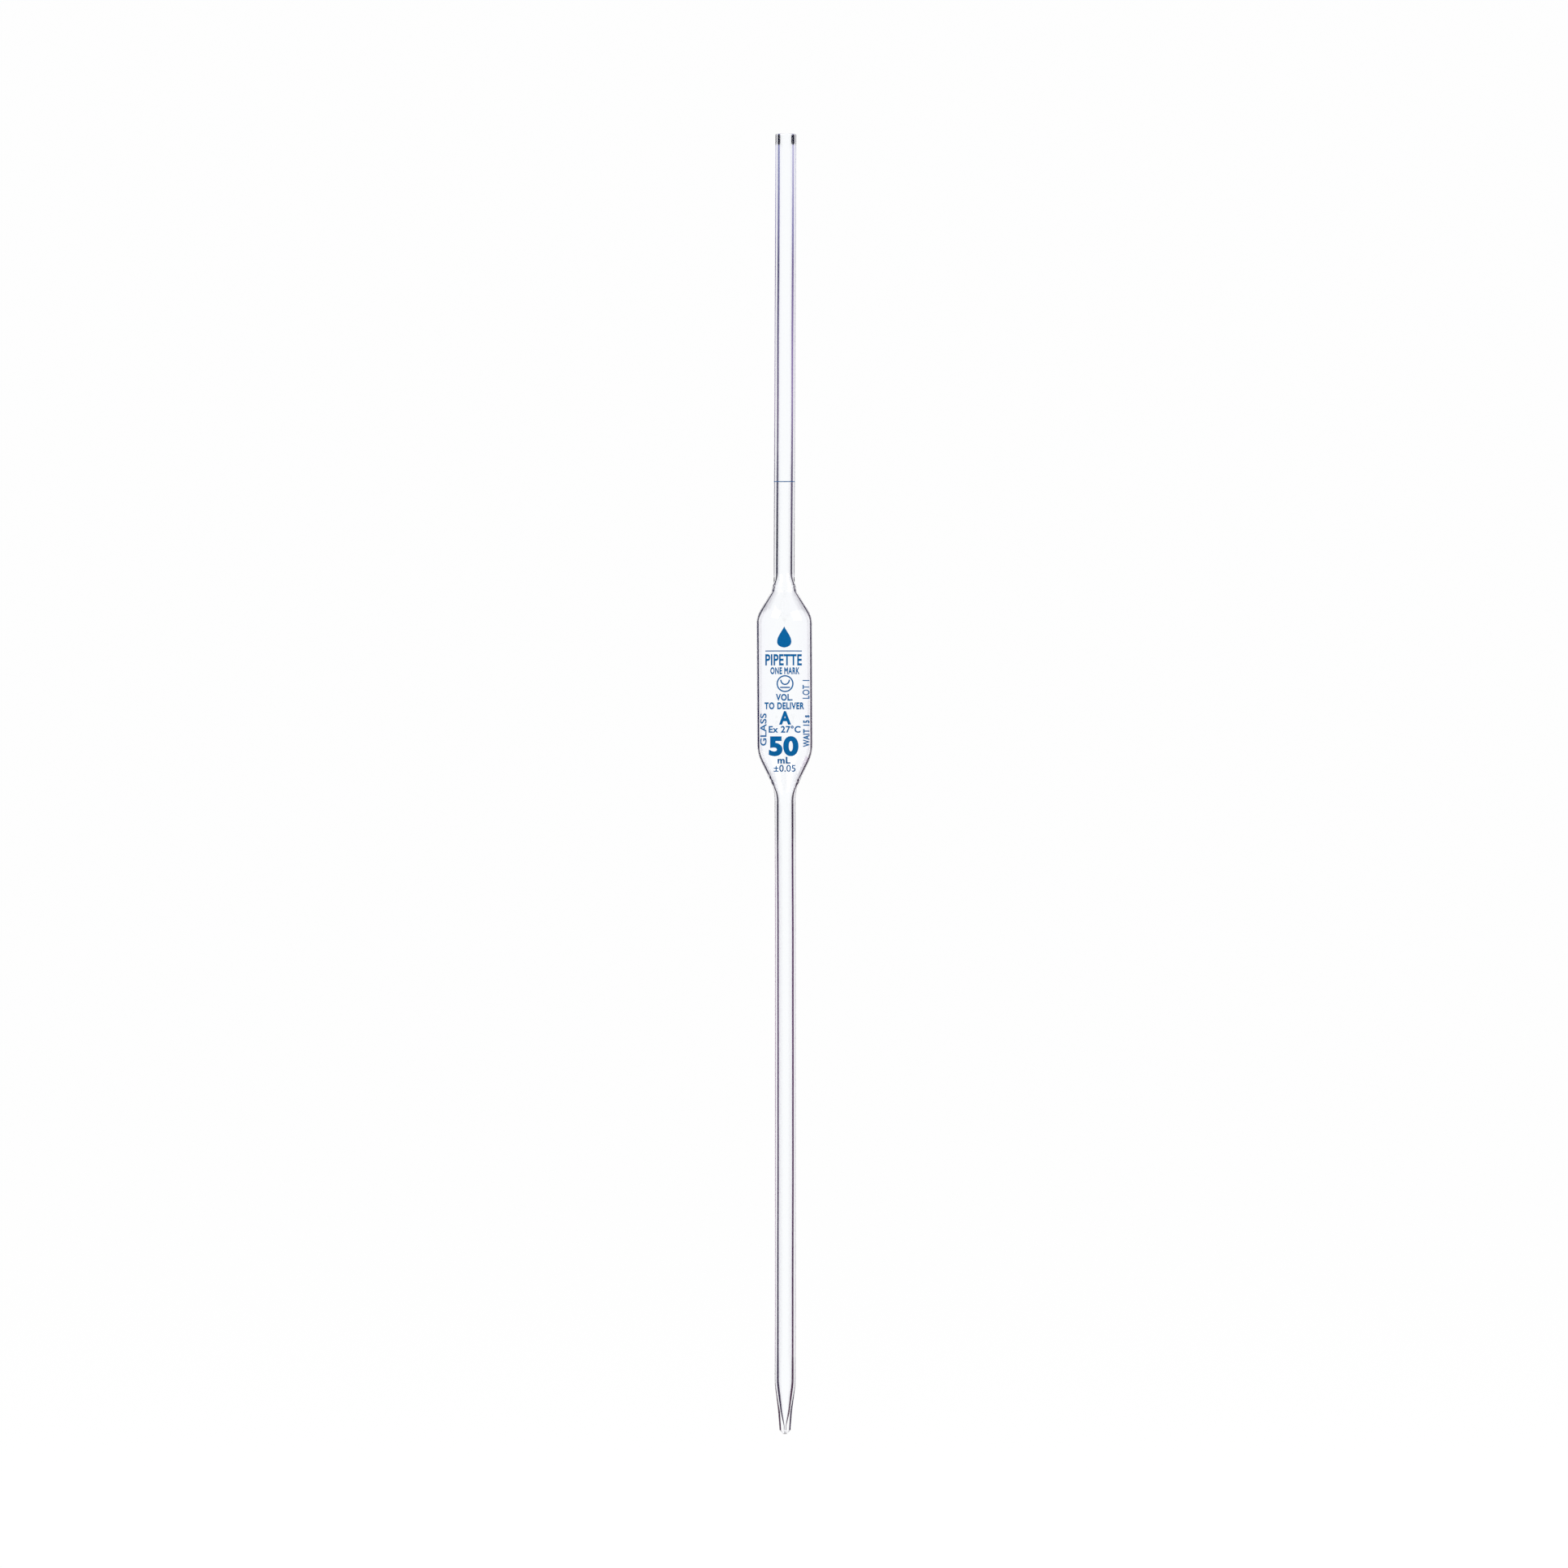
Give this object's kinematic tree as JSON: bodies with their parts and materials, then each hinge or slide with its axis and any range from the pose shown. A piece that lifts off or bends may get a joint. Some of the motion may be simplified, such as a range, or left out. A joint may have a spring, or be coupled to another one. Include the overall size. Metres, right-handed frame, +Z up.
{
  "type": "volumetric pipette",
  "caption": "Slender one-mark glass pipette: straight suction tube, cylindrical bulb with sloped shoulders, long delivery tube drawn to a fine jet, blue fired print on the bulb's front.",
  "frame": {"origin": "centre of the jet's orifice, the lowest point of the pipette as it is held upright", "axes": "+Z up the bore to the mouth, -Y the printed face, +X to the reader's right"},
  "size_m": [0.0266, 0.0266, 0.62],
  "materials": {
    "borosilicate_glass": "clear, fire-polished",
    "blue_enamel": "fired screen print, satin"
  },
  "bodies": {
    "root": {"delivery_tube": "borosilicate_glass", "bulb": "borosilicate_glass", "suction_tube": "borosilicate_glass", "capacity_print": "blue_enamel", "class_letter_print": "blue_enamel", "drop_emblem_print": "blue_enamel", "glass_print": "blue_enamel", "lot_print": "blue_enamel", "meniscus_print": "blue_enamel", "one_mark_print": "blue_enamel", "ring_mark": "blue_enamel", "rule_line_print": "blue_enamel", "temperature_print": "blue_enamel", "title_print": "blue_enamel", "to_deliver_print": "blue_enamel", "tolerance_print": "blue_enamel", "unit_print": "blue_enamel", "volume_word_print": "blue_enamel", "wait_print": "blue_enamel"}
  },
  "joints": []
}
